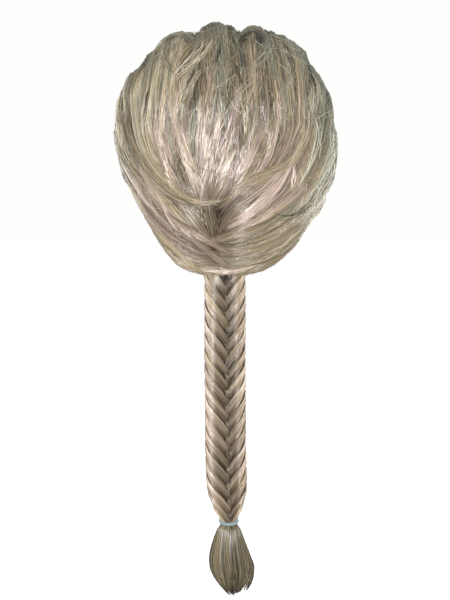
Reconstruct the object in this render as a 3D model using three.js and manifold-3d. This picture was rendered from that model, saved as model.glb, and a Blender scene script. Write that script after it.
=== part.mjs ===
// Braided hairpiece: a head of combed-back false hair on a drawstring cap, gathered at the nape
// into a fishtail braid that ends in an elastic tie and a loose brush of hair.
// Millimetres, +Z up. The origin is the inside of the cap's crown, where it sits on the head.
// +Y is the way the wearer faces, so the back of the head faces -Y and the wearer's right is +X.
import * as THREE from "three";
import { mergeVertices } from "three/addons/utils/BufferGeometryUtils.js";
import Module from "manifold-3d";

const wasm = await Module();
wasm.setup();

// Driving dimensions
const HEAD = { halfWidth: 77, halfDepth: 98, height: 100 }; // the head form inside the cap
const CAP_WALL = 2;
const RIM = { frontZ: -52, frontY: 88, napeZ: -168, napeY: -72 }; // the cap's slanted edge
const CORD_RADIUS = 1.4;
const HAIR = { halfWidth: 102, top: 94, bottom: 129, back: 118, front: 110, centreZ: -82 };
const ROUNDNESS = { top: 2.5, left: 1.75, right: 2.3, nape: 5 }; // superellipse exponents
const NECK = { halfWidth: 56, halfDepth: 61 }; // room kept for the neck below the cap
const GAP = 0.4; // clearance between neighbouring pieces
const LINING_GAP = 1.9; // clearance between the cap and the hair
const LOCK = { groove: 5, free: 8, leastWall: 2.2, shortest: 0.98, ridges: [0.28, 0.72] };
const BRAID = { topZ: -180, endZ: -430, halfWidth: 19.4, halfDepth: 12.5, pitch: 13.9, groove: 3 };
const BRAID_ROOT = { halfDepth: 7, taper: 40 }; // flatter where it starts under the nape hair
const FISHTAIL = { frontFall: 28, backRise: 20, seam: 3.5, starts: 0.14, ends: 0.7 }; // slant of the locks
const BRAID_MESH = { ringsPerLock: 4, points: 12 };
const BRAID_NECK = { halfWidth: 5.6, halfDepth: 5, taper: 32 }; // where the tie grips the braid
const TIE = { radius: 1.6, segments: 24, sides: 6 };
const TAIL = { length: 69, halfWidth: 19, halfDepth: 14, locks: 10, groove: 0.16, swing: 3.4 };

const COLOURS = { hair: 0xa3947a, cap: 0x8d7f6a, cord: 0x7d7060, tie: 0xc6d3d6 };

const HAIR_CENTRE = new THREE.Vector3(0, 0, HAIR.centreZ);
const ACROSS = new THREE.Vector3(1, 0, 0);
const BACKWARD = new THREE.Vector3(0, -1, 0);
const { clamp, degToRad, lerp, smoothstep } = THREE.MathUtils;

// A layer's guides, each a row of stations with a name
const named = (names, row) => Object.fromEntries(names.map((name, i) => [name, row[i]]));
const guides = (names, rows) => rows.map((row) => named(names, row));

// Flow of the hair. A station is [lon, drop]: degrees round from the back of the head, plus to the
// wearer's right, and degrees down from the crown. A layer's locks run between its guides.
const CROWN_GUIDES = guides(["front", "top", "crown", "upper", "middle", "low", "gather", "tip"], [
  [[-150, 78], [-112, 52], [-62, 50], [-46, 70], [-45, 88], [-37, 104], [-23, 115], [-11, 123]],
  [[-162, 75], [-112, 30], [-34, 44], [-27, 71], [-27, 89], [-23, 103], [-16, 113], [-10, 122]],
  [[-172, 74], [-140, 23], [-16, 41], [-13, 73], [-15, 89], [-14, 102], [-11, 112], [-9, 121]],
  [[-180, 74], [-178, 21], [0, 38], [-1, 73], [-2, 89], [-4, 102], [-6, 112], [-8, 121]],
  [[172, 74], [140, 23], [14, 41], [11, 73], [10, 89], [6, 103], [0, 112], [-6, 121]],
  [[162, 75], [112, 30], [31, 44], [25, 72], [25, 89], [18, 105], [7, 114], [-4, 122]],
  [[150, 78], [112, 52], [60, 50], [43, 71], [41, 89], [31, 105], [15, 116], [-1, 123]],
]);
const SIDE_STATIONS = ["root", "top", "side", "back", "turn", "sweep", "tip"];
const LEFT_GUIDES = guides(SIDE_STATIONS, [
  [[-105, 40], [-58, 47], [-40, 68], [-35, 88], [-27, 104], [-14, 117], [0, 129]],
  [[-118, 54], [-92, 66], [-72, 83], [-62, 99], [-47, 112], [-27, 123], [-4, 137]],
  [[-132, 66], [-111, 81], [-92, 96], [-78, 110], [-61, 121], [-38, 132], [-4, 143]],
  [[-147, 80], [-126, 94], [-106, 109], [-88, 120], [-66, 131], [-40, 140], [-2, 148]],
]);
const RIGHT_GUIDES = guides(SIDE_STATIONS, [
  [[105, 40], [58, 47], [38, 68], [33, 88], [26, 105], [14, 119], [-5, 127]],
  [[118, 54], [92, 66], [72, 83], [62, 100], [48, 114], [26, 124], [-6, 132]],
  [[132, 66], [110, 81], [92, 96], [79, 110], [61, 122], [35, 131], [-6, 138]],
  [[147, 80], [125, 94], [106, 109], [90, 120], [68, 130], [40, 138], [-6, 144]],
]);
const NAPE_GUIDES = guides(["root", "left", "low", "middle", "rise", "right", "end"], [
  [[-94, 114], [-70, 129], [-38, 140], [0, 144], [38, 139], [70, 128], [94, 113]],
  [[-95, 117], [-72, 133], [-40, 145], [0, 150], [40, 144], [72, 132], [95, 116]],
  [[-96, 120], [-74, 137], [-42, 150], [0, 156], [42, 149], [74, 136], [96, 119]],
]);

// How each layer lies, station by station: rise is the height of its locks over the hair's outline,
// fill is the share of the way in to the cap that the layer reaches, where 0 is a free sheet, and
// relief is the depth of the grooves between its locks.
// roll lifts single locks, from left to right, at the stations marked in rollAt.
const LAYERS = {
  crown: {
    guides: CROWN_GUIDES,
    locks: 12,
    steps: 15,
    rise: [-1, 2, 2, 1, 0, 0, 0, -2],
    fill: [1, 1, 1, 1, 1, 0.6, 0.1, 0],
    relief: [0.6, 0.6, 0.6, 0.8, 1, 0.8, 0.4, 0.15],
    roll: [-6, 0, 0, -5, 2.5, 4, 1.5, -5, 3.5, 0.5, 0.5, -1.5],
    rollAt: [0.3, 1, 1, 0.3, 0, 0, 0, 0],
  },
  left: {
    guides: LEFT_GUIDES,
    locks: 6,
    steps: 13,
    rise: [-11, -4, 0, 0, -1, -2, -4],
    fill: [1, 1, 1, 1, 1, 1, 1],
    relief: [1, 1, 1, 1, 0.9, 0.7, 0.5],
    roll: [-5, 0, 0, 0, 0, 0],
    rollAt: [1, 1, 1, 1, 0.5, 0, 0],
  },
  right: {
    guides: RIGHT_GUIDES,
    locks: 6,
    steps: 13,
    rise: [-10, -3, 1, 2, 0, -2, -4],
    fill: [1, 1, 1, 1, 1, 1, 1],
    relief: [1, 1, 1, 1, 0.9, 0.7, 0.5],
    roll: [-5, 0, 0, 0, 0, 0],
    rollAt: [1, 1, 1, 1, 0.5, 0, 0],
  },
  nape: {
    guides: NAPE_GUIDES,
    locks: 3,
    steps: 12,
    rise: [-6, -2, 1, 3, 1, -2, -6],
    fill: [1, 1, 1, 1, 1, 1, 1],
    relief: [0.3, 0.6, 0.6, 0.6, 0.6, 0.6, 0.3],
  },
};

// The direction of a station, seen from the hair's centre
function direction(lon, drop) {
  const turn = degToRad(lon);
  const out = Math.sin(degToRad(drop));
  return new THREE.Vector3(out * Math.sin(turn), -out * Math.cos(turn), Math.cos(degToRad(drop)));
}

// Distance from the hair's centre to its outline along a direction: a superellipsoid whose lower
// half is full at the nape and tapers at the sides, more on the left than on the right.
function hairRadius(d) {
  const depth = d.y < 0 ? HAIR.back : HAIR.front;
  const level = Math.hypot(d.x, d.y) || 1;
  const facingBack = Math.max(0, -d.y / level) ** 4;
  const taper = lerp(ROUNDNESS.left, ROUNDNESS.right, (1 + d.x / level) / 2);
  const p = d.z > 0 ? ROUNDNESS.top : lerp(taper, ROUNDNESS.nape, facingBack);
  const flat = Math.hypot(d.x / HAIR.halfWidth, d.y / depth);
  const tall = Math.abs(d.z) / (d.z > 0 ? HAIR.top : HAIR.bottom);
  return (flat ** p + tall ** p) ** (-1 / p);
}

// Distance from the hair's centre to the head form grown by a clearance, or to the neck under it
function innerRadius(d, grow) {
  const [a, b, c] = [HEAD.halfWidth + grow, HEAD.halfDepth + grow, HEAD.height + grow];
  const rise = HAIR.centreZ + HEAD.height; // the hair's centre over the head form's centre
  const square = (d.x / a) ** 2 + (d.y / b) ** 2 + (d.z / c) ** 2;
  const half = (rise * d.z) / c ** 2;
  const head = (-half + Math.sqrt(half * half - square * ((rise / c) ** 2 - 1))) / square;
  if (d.z > 0) return head;
  return Math.max(head, 1 / Math.hypot(d.x / NECK.halfWidth, d.y / NECK.halfDepth, 1e-6));
}

const fromCentre = (d, radius) => d.clone().multiplyScalar(radius).add(HAIR_CENTRE);

// Solids from three.js geometry, and back
function solid(geometry) {
  const g = geometry.index ? geometry.toNonIndexed() : geometry.clone();
  const bare = new THREE.BufferGeometry().setAttribute("position", g.getAttribute("position"));
  const merged = mergeVertices(bare, 1e-4);
  const vertProperties = merged.getAttribute("position").array;
  const triVerts = new Uint32Array(merged.index.array);
  return new wasm.Manifold(new wasm.Mesh({ numProp: 3, vertProperties, triVerts }));
}

// The same, turned round where its faces point in
function outward(geometry) {
  const made = solid(geometry);
  if (made.volume() > 0) return made;
  const index = geometry.getIndex().array;
  for (let i = 0; i < index.length; i += 3) [index[i + 1], index[i + 2]] = [index[i + 2], index[i + 1]];
  return solid(geometry);
}

function geometryOf(made) {
  const { vertProperties, triVerts } = made.getMesh();
  return new THREE.BufferGeometry()
    .setAttribute("position", new THREE.BufferAttribute(new Float32Array(vertProperties), 3))
    .setIndex(new THREE.BufferAttribute(triVerts, 1));
}

const mainBody = (made) => made.decompose().sort((a, b) => b.volume() - a.volume())[0];

// A closed skin round a stack of rings with equal point counts, with a fan at each end
function loft(rings) {
  const count = rings[0].length;
  const points = rings.flat();
  const index = [];
  const at = (ring, i) => ring * count + (i % count);
  for (let ring = 0; ring + 1 < rings.length; ring++)
    for (let i = 0; i < count; i++) {
      index.push(at(ring, i), at(ring, i + 1), at(ring + 1, i));
      index.push(at(ring, i + 1), at(ring + 1, i + 1), at(ring + 1, i));
    }
  for (const [ring, flip] of [[0, true], [rings.length - 1, false]]) {
    points.push(rings[ring].reduce((sum, p) => sum.add(p), new THREE.Vector3()).divideScalar(count));
    for (let i = 0; i < count; i++) {
      const [a, b] = flip ? [at(ring, i + 1), at(ring, i)] : [at(ring, i), at(ring, i + 1)];
      index.push(points.length - 1, a, b);
    }
  }
  const geometry = new THREE.BufferGeometry().setFromPoints(points);
  return outward(geometry.setIndex(index));
}

// A closed wall between two grids of points, outer and inner, with the same rows and columns
function wall(outer, inner) {
  const [rows, columns] = [outer.length, outer[0].length];
  const points = [...outer.flat(), ...inner.flat()];
  const index = [];
  const [lastRow, lastColumn] = [rows - 1, columns - 1];
  const out = (row, column) => row * columns + column;
  const back = (row, column) => rows * columns + out(row, column);
  const quad = (a, b, c, d) => index.push(a, b, c, a, c, d);
  for (let row = 0; row < lastRow; row++)
    for (let column = 0; column < lastColumn; column++) {
      quad(out(row, column), out(row, column + 1), out(row + 1, column + 1), out(row + 1, column));
      quad(back(row, column), back(row + 1, column), back(row + 1, column + 1), back(row, column + 1));
    }
  for (let row = 0; row < lastRow; row++) {
    quad(out(row, 0), out(row + 1, 0), back(row + 1, 0), back(row, 0));
    quad(out(row + 1, lastColumn), out(row, lastColumn), back(row, lastColumn), back(row + 1, lastColumn));
  }
  for (let column = 0; column < lastColumn; column++) {
    quad(out(0, column + 1), out(0, column), back(0, column), back(0, column + 1));
    quad(out(lastRow, column), out(lastRow, column + 1), back(lastRow, column + 1), back(lastRow, column));
  }
  const geometry = new THREE.BufferGeometry().setFromPoints(points);
  return outward(geometry.setIndex(index));
}

// An oval of points round a centre
function oval(centre, halfWidth, halfDepth, count) {
  return Array.from({ length: count }, (_, i) => {
    const turn = (2 * Math.PI * i) / count;
    return centre
      .clone()
      .addScaledVector(ACROSS, halfWidth * Math.sin(turn))
      .addScaledVector(BACKWARD, halfDepth * Math.cos(turn));
  });
}

// The flow line of a layer at a share of the way across its guides, as a curve of directions
function flowLine(guides, across) {
  const place = clamp(across, 0, 1) * (guides.length - 1);
  const low = Math.min(guides.length - 2, Math.floor(place));
  const stations = Object.keys(guides[0]).map((name) =>
    direction(...guides[low][name]).lerp(direction(...guides[low + 1][name]), place - low).normalize(),
  );
  return new THREE.CatmullRomCurve3(stations, false, "centripetal");
}

function valueAt(stations, t) {
  const place = t * (stations.length - 1);
  const low = Math.min(stations.length - 2, Math.floor(place));
  return lerp(stations[low], stations[low + 1], place - low);
}

// A layer of hair: strips side by side, each a rounded ridge between two grooves, fused into one wall.
// Grown by a clearance, it is the room that its neighbours leave for it.
function hairLayer(name, grow = 0) {
  const { guides, locks, steps, rise, fill, relief, roll = [0], rollAt = [0, 0] } = LAYERS[name];
  const columns = [];
  for (let number = 0; number < locks; number++) {
    columns.push({ number, across: number / locks, groove: true });
    for (const share of LOCK.ridges) columns.push({ number, across: (number + share) / locks });
  }
  columns.push({ number: locks - 1, across: 1, groove: true });
  const lines = columns.map(({ across }) => flowLine(guides, across));
  const pace = flowLine(guides, 0.5); // rows keep between even stations and even steps on this line
  const outer = [];
  const inner = [];
  for (let step = 0; step <= steps; step++) {
    const rows = columns.map(({ number, groove }, column) => {
      const share = (step / steps) * (groove ? LOCK.shortest : 1);
      const t = (share + pace.getUtoTmapping(share)) / 2;
      const d = lines[column].getPoint(t).normalize();
      const dip = groove ? LOCK.groove * valueAt(relief, t) : 0;
      const lift = valueAt(rise, t) + valueAt(rollAt, t) * (roll[number] ?? 0) - dip;
      const deepest = innerRadius(d, CAP_WALL + LINING_GAP - grow);
      const outside = Math.max(deepest + LOCK.leastWall, hairRadius(d) + lift) + grow;
      const free = Math.max(deepest, outside - LOCK.free - 2 * grow);
      return [fromCentre(d, outside), fromCentre(d, lerp(free, deepest, valueAt(fill, t)))];
    });
    outer.push(rows.map((pair) => pair[0]));
    inner.push(rows.map((pair) => pair[1]));
  }
  if (grow > 0) [outer, inner].forEach((grid) => widen(grid, grow));
  return wall(outer, inner);
}

// Moves a grid's border outwards, along its own rows and columns
function widen(grid, grow) {
  const push = (edge, next) => edge.addScaledVector(edge.clone().sub(next).normalize(), grow);
  for (const row of grid) {
    push(row[0], row[1]);
    push(row.at(-1), row.at(-2));
  }
  grid[0].forEach((point, column) => push(point, grid[1][column]));
  grid.at(-1).forEach((point, column) => push(point, grid.at(-2)[column]));
}

// The cap: an egg-shaped shell cut by the slanted plane of its rim
const rimSlope = (RIM.frontZ - RIM.napeZ) / (RIM.frontY - RIM.napeY);
const rimAngle = Math.atan(rimSlope);
const rimZ = (y) => RIM.napeZ + (y - RIM.napeY) * rimSlope;

function headForm(grow) {
  const geometry = new THREE.SphereGeometry(1, 26, 16).rotateX(Math.PI / 2);
  geometry.scale(HEAD.halfWidth + grow, HEAD.halfDepth + grow, HEAD.height + grow);
  return solid(geometry.translate(0, 0, -HEAD.height));
}

function cap() {
  const size = 4 * HEAD.height;
  const block = new THREE.BoxGeometry(size, size, size).translate(0, 0, -size / 2);
  const below = solid(block.rotateX(rimAngle).translate(0, 0, rimZ(0)));
  return headForm(CAP_WALL).subtract(headForm(0)).subtract(below);
}

// A closed round cord along a loop
function ring(route, segments, radius, sides) {
  const tube = new THREE.TubeGeometry(route, segments, radius, sides, true);
  tube.deleteAttribute("normal");
  tube.deleteAttribute("uv");
  return outward(mergeVertices(tube, 1e-4));
}

// The drawstring: a cord round the cap's edge, just under the cut
function drawstring() {
  const steps = 36;
  const points = [];
  for (let step = 0; step < steps; step++) {
    const spot = (drop) => {
      const d = direction((360 * step) / steps, drop);
      return fromCentre(d, innerRadius(d, 0));
    };
    let [above, under] = [20, 170];
    for (let halving = 0; halving < 40; halving++) {
      const drop = (above + under) / 2;
      if (spot(drop).z > rimZ(spot(drop).y)) above = drop;
      else under = drop;
    }
    points.push(spot(above));
  }
  const down = new THREE.Vector3(0, Math.sin(rimAngle), -Math.cos(rimAngle));
  points.forEach((point) => point.addScaledVector(down, CORD_RADIUS + GAP));
  return ring(new THREE.CatmullRomCurve3(points, true), steps, CORD_RADIUS, 5);
}

// The braid hangs from under the nape along this line
const BRAID_LINE = new THREE.CatmullRomCurve3(
  [
    [0, -70, BRAID.topZ],
    [0, -76, -230],
    [0, -80, -280],
    [0.4, -83, -330],
    [1, -85, -390],
    [3.4, -86, BRAID.endZ],
  ].map((p) => new THREE.Vector3(...p)),
);

function braidPoint(z) {
  const share = clamp((BRAID.topZ - z) / (BRAID.topZ - BRAID.endZ), 0, 1);
  return BRAID_LINE.getPoint(share).setZ(z);
}

// One ring of the fishtail, a share of the way down the braid. It dips to a V at the front and rises
// at the back, so that it follows the locks, and ridges and grooves alternate from ring to ring,
// half a lock apart between left and right.
function braidRing(number, down, grow) {
  const length = BRAID.topZ - BRAID.endZ;
  const slant = smoothstep(down, 0, FISHTAIL.starts) * (1 - smoothstep(down, FISHTAIL.ends, 1));
  return Array.from({ length: BRAID_MESH.points }, (_, i) => {
    const turn = (2 * Math.PI * i) / BRAID_MESH.points; // 0 is the middle of the front
    const facing = 2 * Math.abs(1 - turn / Math.PI) - 1; // 1 at the front, -1 at the back
    const fall = facing * (facing > 0 ? FISHTAIL.frontFall : FISHTAIL.backRise);
    const z = BRAID.topZ - length * down - slant * fall;
    const middle = Math.abs(Math.sin(turn)) < 1e-6;
    const phase = number / BRAID_MESH.ringsPerLock + (middle ? 0.25 : turn < Math.PI ? 0.5 : 0);
    const groove = BRAID.groove * Math.cos(Math.PI * phase) ** 2 + (middle ? FISHTAIL.seam : 0);
    const rooted = smoothstep(BRAID.topZ - z, 0, BRAID_ROOT.taper);
    const gathered = smoothstep(z, BRAID.endZ, BRAID.endZ + BRAID_NECK.taper);
    const depth = lerp(BRAID_ROOT.halfDepth, BRAID.halfDepth, rooted);
    const swell = grow - groove * gathered;
    const halfWidth = lerp(BRAID_NECK.halfWidth, BRAID.halfWidth, gathered) + swell;
    const halfDepth = lerp(BRAID_NECK.halfDepth, depth, gathered) + swell;
    return braidPoint(z)
      .addScaledVector(ACROSS, halfWidth * Math.sin(turn))
      .addScaledVector(BACKWARD, halfDepth * Math.cos(turn));
  });
}

function braid(grow = 0) {
  const count = Math.round((BRAID.topZ - BRAID.endZ) / BRAID.pitch) * BRAID_MESH.ringsPerLock;
  return loft(Array.from({ length: count + 1 }, (_, number) => braidRing(number, number / count, grow)));
}

// The tie: an elastic ring round the neck between the braid and the tail
const TIE_CENTRE = braidPoint(BRAID.endZ);

function tie() {
  const reach = TIE.radius + GAP;
  const route = oval(TIE_CENTRE, BRAID_NECK.halfWidth + reach, BRAID_NECK.halfDepth + reach, TIE.segments);
  return ring(new THREE.CatmullRomCurve3(route, true), TIE.segments, TIE.radius, TIE.sides);
}

// Outline of the loose end below the tie: shares of its length and of its greatest half-width
const TAIL_OUTLINE = [
  { down: 0, wide: 0.27 },
  { down: 0.03, wide: 0.34 },
  { down: 0.07, wide: 0.48 },
  { down: 0.2, wide: 0.66 },
  { down: 0.4, wide: 0.88 },
  { down: 0.6, wide: 1 },
  { down: 0.78, wide: 0.78 },
  { down: 0.92, wide: 0.38 },
  { down: 1, wide: 0.08 },
];

// The tail: a brush of locks, ridges and grooves round it, drawn to a point
function tail() {
  const top = TIE_CENTRE.z - GAP;
  return loft(
    TAIL_OUTLINE.map(({ down, wide }) => {
      const centre = TIE_CENTRE.clone();
      centre.x += TAIL.swing * smoothstep(down, 0, 0.6);
      centre.z = top - TAIL.length * down;
      const points = oval(centre, TAIL.halfWidth * wide, TAIL.halfDepth * wide, 2 * TAIL.locks);
      const depth = TAIL.groove * smoothstep(down, 0.06, 0.4);
      return points.map((point, i) => (i % 2 ? point.lerp(centre, depth) : point));
    }),
  );
}

// Assembly: each layer of hair is cut back from the pieces that lie over it
const cutBack = (made, room) => made.subtract(room);
const fitted = (name, ...rooms) => mainBody(rooms.reduce(cutBack, hairLayer(name)));
const headRoom = headForm(CAP_WALL + GAP);
const braidRoom = braid(GAP);
const [crownRoom, leftRoom, napeRoom] = ["crown", "left", "nape"].map((name) => hairLayer(name, GAP));
const crownHair = fitted("crown", headRoom);
const napeHair = fitted("nape", headRoom, crownRoom, braidRoom);
const leftHair = fitted("left", headRoom, crownRoom, napeRoom, braidRoom);
const rightHair = fitted("right", headRoom, crownRoom, napeRoom, braidRoom, leftRoom);

const finish = (color, roughness) => new THREE.MeshStandardMaterial({ color, roughness, metalness: 0 });
const hairFinish = finish(COLOURS.hair, 0.45);

const part = new THREE.Group();
function add(name, made, material) {
  const mesh = new THREE.Mesh(geometryOf(made), material);
  mesh.name = name;
  part.add(mesh);
}

add("cap", cap(), finish(COLOURS.cap, 0.8));
add("drawstring", drawstring(), finish(COLOURS.cord, 0.8));
add("crown_hair", crownHair, hairFinish);
add("left_hair", leftHair, hairFinish);
add("right_hair", rightHair, hairFinish);
add("nape_hair", napeHair, hairFinish);
add("braid", braid(), hairFinish);
add("hair_tie", tie(), finish(COLOURS.tie, 0.6));
add("tail", tail(), hairFinish);

export default part;
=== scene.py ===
import math
import bpy
import numpy as np
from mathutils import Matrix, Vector


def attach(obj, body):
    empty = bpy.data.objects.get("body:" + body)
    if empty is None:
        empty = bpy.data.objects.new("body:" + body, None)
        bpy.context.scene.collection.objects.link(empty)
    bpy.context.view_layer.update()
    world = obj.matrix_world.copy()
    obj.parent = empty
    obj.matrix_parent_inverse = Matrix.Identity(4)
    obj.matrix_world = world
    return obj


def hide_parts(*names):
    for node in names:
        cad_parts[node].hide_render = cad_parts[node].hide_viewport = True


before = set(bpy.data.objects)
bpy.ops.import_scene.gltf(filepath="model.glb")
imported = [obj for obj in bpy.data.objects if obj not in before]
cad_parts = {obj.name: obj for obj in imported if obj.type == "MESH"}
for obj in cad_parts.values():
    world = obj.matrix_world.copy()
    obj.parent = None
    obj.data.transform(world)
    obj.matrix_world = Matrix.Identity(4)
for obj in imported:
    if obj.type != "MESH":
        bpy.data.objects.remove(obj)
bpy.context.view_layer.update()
print("frame loaded,", len(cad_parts), "solids")

mm = 0.001  # shapes are worked out in millimetres


# camera behind the head, a little above it, as the photograph was taken
cameraSet = dict(lens=70, elevation=6, distance=1.05, target=(0, -0.060, -0.234))


def placeCamera(look):
    lift = math.radians(look["elevation"])
    back = Vector((0, -math.cos(lift), math.sin(lift)))
    data = bpy.data.cameras.new("camera")
    data.lens = look["lens"]
    camera = bpy.data.objects.new("camera", data)
    camera.location = Vector(look["target"]) + back * look["distance"]
    camera.rotation_mode = "QUATERNION"
    camera.rotation_quaternion = (-back).to_track_quat("-Z", "Y")
    bpy.context.scene.collection.objects.link(camera)
    bpy.context.scene.camera = camera


placeCamera(cameraSet)

# one soft lamp beside the camera, fills on either side, from above and before the face
lampSet = dict(
    key=dict(at=(0.06, -1.30, -0.06), size=0.26, watts=26, colour=(1.0, 0.97, 0.96)),
    left=dict(at=(-1.3, -0.5, 0.4), size=1.2, watts=9.5, colour=(1.0, 1.0, 0.97)),
    right=dict(at=(1.3, -0.3, 0.5), size=1.2, watts=5, colour=(0.88, 1.0, 1.0)),
    above=dict(at=(0.0, 0.5, 1.4), size=1.4, watts=3, colour=(0.97, 1.0, 0.96)),
    frontLeft=dict(at=(-1.2, 0.9, 0.2), size=1.0, watts=16, colour=(1.0, 0.98, 0.96)),
    frontRight=dict(at=(1.2, 0.9, 0.0), size=1.0, watts=16, colour=(1.0, 0.98, 0.96)),
)
lampAim = Vector((0, -0.02, -0.18))
worldSet = dict(ambient=0.27, seen=1.0, tint=(0.99, 1.0, 0.98, 1))


def placeLamps(lamps):
    for name, lamp in lamps.items():
        data = bpy.data.lights.new(name, "AREA")
        data.size, data.energy, data.color = lamp["size"], lamp["watts"], lamp["colour"]
        holder = bpy.data.objects.new(name, data)
        holder.location = lamp["at"]
        holder.visible_camera = False
        holder.rotation_mode = "QUATERNION"
        holder.rotation_quaternion = (lampAim - Vector(lamp["at"])).to_track_quat("-Z", "Y")
        bpy.context.scene.collection.objects.link(holder)


def makeWorld(settings):
    # the backdrop is seen white but lights the hair less
    world = bpy.data.worlds.new("studio")
    world.use_nodes = True
    tree = world.node_tree
    path = tree.nodes.new("ShaderNodeLightPath")
    strength = tree.nodes.new("ShaderNodeMapRange")
    strength.inputs["To Min"].default_value = settings["ambient"]
    strength.inputs["To Max"].default_value = settings["seen"]
    background = tree.nodes["Background"]
    background.inputs["Color"].default_value = settings["tint"]
    tree.links.new(path.outputs["Is Camera Ray"], strength.inputs["Value"])
    tree.links.new(strength.outputs["Result"], background.inputs["Strength"])
    bpy.context.scene.world = world
    bpy.context.scene.view_settings.view_transform = "Standard"


placeLamps(lampSet)
makeWorld(worldSet)
print("camera and lamps placed")


# shared shapes of curves and numbers

def unit(v):
    # a vector over its length
    return v / np.maximum(np.linalg.norm(v, axis=-1, keepdims=True), 1e-9)


def ease(x, low, high):
    # 0 below low, 1 above high, a smooth S between
    share = np.clip((x - low) / (high - low), 0, 1)
    return share * share * (3 - 2 * share)


def quarter(x):
    # a quarter circle: steep from 0, flat at 1
    return np.sqrt(1 - (1 - np.clip(x, 0, 1)) ** 2)


def mix(a, b, share):
    return a + (b - a) * share


def turns(count):
    # even turns round, from 0
    return np.arange(count) * 2 * np.pi / count


def stationValue(values, along):
    # straight interpolation in a row of values spread evenly from 0 to 1
    return np.interp(along, np.linspace(0, 1, len(values)), values)


def throughPoints(p0, p1, p2, p3, w):
    # centripetal Catmull-Rom from p1 to p2: knots spaced by the square root of the chords
    def chord(a, b):
        return np.sqrt(np.maximum(np.linalg.norm(b - a, axis=-1, keepdims=True), 1e-6))
    k0, k1, k2 = chord(p0, p1), chord(p1, p2), chord(p2, p3)
    m1 = ((p1 - p0) / k0 - (p2 - p0) / (k0 + k1) + (p2 - p1) / k1) * k1
    m2 = ((p2 - p1) / k1 - (p3 - p1) / (k1 + k2) + (p3 - p2) / k2) * k1
    w = w[..., None]
    return (p1 + m1 * w + (3 * (p2 - p1) - 2 * m1 - m2) * w ** 2
            + (2 * (p1 - p2) + m1 + m2) * w ** 3)


def taper(s, root, full, thins, tip):
    # a width along a strand: from root it swells to 1 at full, and past thins it draws in to tip
    return mix(root, 1, ease(s, 0, full)) * mix(1, tip, ease(s, thins, 1))


def alongCurve(pick, count, along, runOn=1.08):
    # a curve through stations 0 to count-1, where pick(i) gives the station of each entry; at either
    # end the last step is repeated, and the last stretch runs on a little past 1
    place = np.clip(along, 0, runOn) * (count - 1)
    low = np.minimum(count - 2, place.astype(int))
    here, ahead = pick(low), pick(low + 1)
    before = np.where((low > 0)[..., None], pick(np.maximum(low - 1, 0)), 2 * here - ahead)
    after = np.where((low + 2 < count)[..., None], pick(np.minimum(low + 2, count - 1)),
                     2 * ahead - here)
    return throughPoints(before, here, ahead, after, place - low)


# the outline of the hair and the head form under it, in millimetres from the crown of the cap
hairForm = dict(halfWidth=102, top=94, bottom=129, back=118, front=110, centreZ=-82,
                roundTop=2.5, roundLeft=1.75, roundRight=2.3, roundNape=5, napeOnly=4)
headForm = dict(halfWidth=77, halfDepth=98, height=100, neckWidth=56, neckDepth=61)
hairCentre = np.array([0, 0, hairForm["centreZ"]], float)


def bearing(station):
    # a unit vector: degrees round from the back, plus to the right, and degrees down from the crown
    lon, drop = np.radians(station[..., 0]), np.radians(station[..., 1])
    out = np.sin(drop)
    return np.stack([out * np.sin(lon), -out * np.cos(lon), np.cos(drop)], -1)


def outlineRadius(d):
    # superellipsoid: the level part and the upright part, each to the power p, sum to 1;
    # p is full at the nape and lower at the sides, more so on the left
    f = hairForm
    x, y, z = d[..., 0], d[..., 1], d[..., 2]
    level = np.maximum(np.hypot(x, y), 1e-9)
    sides = mix(f["roundLeft"], f["roundRight"], (1 + x / level) / 2)
    lower = mix(sides, f["roundNape"], np.maximum(0, -y / level) ** f["napeOnly"])
    p = np.where(z > 0, f["roundTop"], lower)
    flat = np.hypot(x / f["halfWidth"], y / np.where(y < 0, f["back"], f["front"]))
    tall = np.abs(z) / np.where(z > 0, f["top"], f["bottom"])
    return (flat ** p + tall ** p) ** (-1 / p)


def headRadius(d, grow):
    # distance along d from the hair's centre to the head's ellipsoid, or to the upright neck below
    f = headForm
    a, b, c = f["halfWidth"] + grow, f["halfDepth"] + grow, f["height"] + grow
    x, y, z = d[..., 0], d[..., 1], d[..., 2]
    rise = hairForm["centreZ"] + f["height"]
    square = (x / a) ** 2 + (y / b) ** 2 + (z / c) ** 2
    half = rise * z / c ** 2
    head = (-half + np.sqrt(half ** 2 - square * ((rise / c) ** 2 - 1))) / square
    neck = 1 / np.maximum(np.hypot(x / f["neckWidth"], y / f["neckDepth"]), 1e-6)
    return np.where(z > 0, head, np.maximum(head, neck))


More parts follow.
